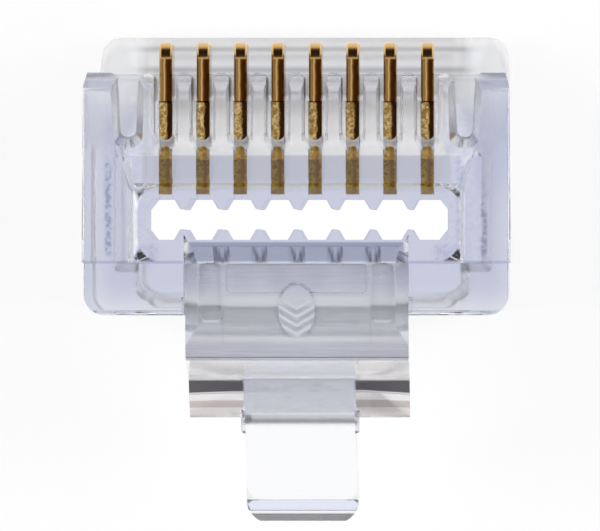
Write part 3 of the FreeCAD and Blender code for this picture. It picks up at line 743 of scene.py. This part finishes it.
@dataclass
class Studio:
    """White floor, soft lamps and the camera over the nose.

    The shadow's and the footprint's sizes, the reach, the lens and the sensor are in millimetres, the rest in metres.
    """

    floor_size: float = 1.2
    floor_gap: float = 0.00001
    floor_colour: tuple = (0.9, 0.9, 0.9, 1.0)
    camera_distance: float = 0.440
    lens: float = 970.0
    sensor: float = 36.0
    clip: tuple = (0.01, 10.0)
    aim: tuple = (0.000109, -0.00256)
    yaw: float = -0.78
    shadow: tuple = (0.61, 0.635, 0.765)
    shadow_half: tuple = (5.2, 2.2)
    shadow_middle: float = -0.75
    shadow_edge: float = 0.85
    shadow_share: float = 0.25
    footprint_half: tuple = (5.5, 3.5)
    footprint_edge: float = 0.2
    open_white: tuple = (1.11, 1.11, 1.11)
    floor_reach: float = 80.0
    floor_stops: tuple = (
        (0.0, WHITE), (0.14, WHITE), (0.28, (0.84, 0.86, 0.92)), (0.55, (0.84, 0.87, 1.05)), (1.0, (0.70, 0.74, 0.90)))
    sky_stops: tuple = (
        (0.0, (0.6, 0.6, 0.65)), (0.50, (0.62, 0.62, 0.66)), (0.58, (0.40, 0.40, 0.42)),
        (0.70, (0.06, 0.05, 0.048)), (0.80, (0.022, 0.015, 0.014)), (1.0, (0.022, 0.015, 0.014)))
    lamps: tuple = (
        SoftLamp("top_lamp", (0.0, 0.0, 0.60), 0.22, 0.5),
        SoftLamp("left_lamp", (-0.30, 0.02, 0.35), 0.25, 5.5),
        SoftLamp("right_lamp", (0.30, 0.0, 0.35), 0.25, 5.5))

    def under_plug(self, graph: Graph, place: dict[str, Socket]) -> Socket:
        """The floor as the plastic shows it: shaded under the plug, white round it and dimmer far off."""
        apart_x = (place["across"] - self.shadow_half[0]).maximum(0.0)
        apart_y = (abs(place["y"] - self.shadow_middle) - self.shadow_half[1]).maximum(0.0)
        apart = (apart_x * apart_x + apart_y * apart_y).root()
        reach = (place["x"] * place["x"] + place["y"] * place["y"]).root()
        around = graph.ramp(reach / self.floor_reach, self.floor_stops)
        return graph.mix(apart.below(self.shadow_edge, self.shadow_edge), around, self.shadow)

    def floor(self) -> None:
        """Lays the floor under the plug."""
        height = CAD_BOX[0].z - self.floor_gap
        bpy.ops.mesh.primitive_plane_add(size=self.floor_size, location=(0, 0, height))
        floor = bpy.context.object
        floor.name = "floor"
        made = bpy.data.materials.new("floor_white")
        made.use_nodes = True
        graph = Graph(made.node_tree)
        place = graph.place()
        camera = graph.is_ray(Ray.CAMERA)
        through = graph.is_ray(Ray.GLOSSY).maximum(graph.is_ray(Ray.TRANSMISSION))
        covered = place["across"].below(self.footprint_half[0], self.footprint_edge)
        covered = covered * abs(place["y"]).below(self.footprint_half[1], self.footprint_edge)
        open_floor = camera * (1 - covered) * self.shadow_share
        seen = graph.mix(camera, self.under_plug(graph, place), graph.mix(covered, self.open_white, WHITE))
        plain = graph.node("ShaderNodeBsdfDiffuse", values={"Color": self.floor_colour})
        lit = graph.node("ShaderNodeEmission", values={"Color": seen, "Strength": 1.0})
        graph.finish(graph.node("ShaderNodeMixShader", values={
            0: camera.maximum(through) - open_floor, 1: plain, 2: lit}))
        floor.data.materials.append(made)

    def world(self) -> None:
        """White where the camera sees it, and darker round and over the plug."""
        world = bpy.data.worlds.new("studio")
        bpy.context.scene.world = world
        world.use_nodes = True
        graph = Graph(world.node_tree)
        direction = graph.node("ShaderNodeTexCoord", output="Generated")
        split = graph.node("ShaderNodeSeparateXYZ", values={0: direction})
        up = Socket(graph, split.link.node.outputs[2])
        colour = graph.mix(graph.is_ray(Ray.CAMERA), graph.ramp(up * 0.5 + 0.5, self.sky_stops), WHITE)
        background = graph.node("ShaderNodeBackground", values={"Color": colour, "Strength": 1.0})
        graph.finish(background, kind="ShaderNodeOutputWorld")

    def camera(self) -> None:
        """Sets the camera over the nose, looking down the plug."""
        data = bpy.data.cameras.new("camera")
        data.lens = self.lens
        data.sensor_width = self.sensor
        data.clip_start, data.clip_end = self.clip
        camera = bpy.data.objects.new("camera", data)
        bpy.context.scene.collection.objects.link(camera)
        yaw = math.radians(self.yaw)
        sight = Vector((math.sin(yaw), 0, -math.cos(yaw)))
        target = Vector((*self.aim, CAD_BOX[1].z))
        camera.location = target - sight * self.camera_distance
        right = Vector((math.cos(yaw), 0, math.sin(yaw)))
        up = Vector((0, 1, 0))
        camera.matrix_world = Matrix((
            (right.x, up.x, -sight.x, camera.location.x), (right.y, up.y, -sight.y, camera.location.y),
            (right.z, up.z, -sight.z, camera.location.z), (0, 0, 0, 1)))
        bpy.context.scene.camera = camera

    def build(self) -> None:
        """Sets up the whole studio."""
        self.floor()
        self.world()
        for lamp in self.lamps:
            lamp.hang()
        self.camera()
        bpy.context.scene.view_settings.view_transform = "Standard"


def main() -> None:
    """Builds the plug and its studio."""
    logging.basicConfig(level=logging.INFO, format="%(message)s")
    moulding = MouldedBody()
    body = moulding.build()
    moulding.dress(body, ClearPolycarbonate())
    LOG.info("%s: %d faces", body.name, len(body.data.polygons))
    ContactComb().dress(BladeGold())
    Studio().build()


if __name__ == "__main__":
    main()
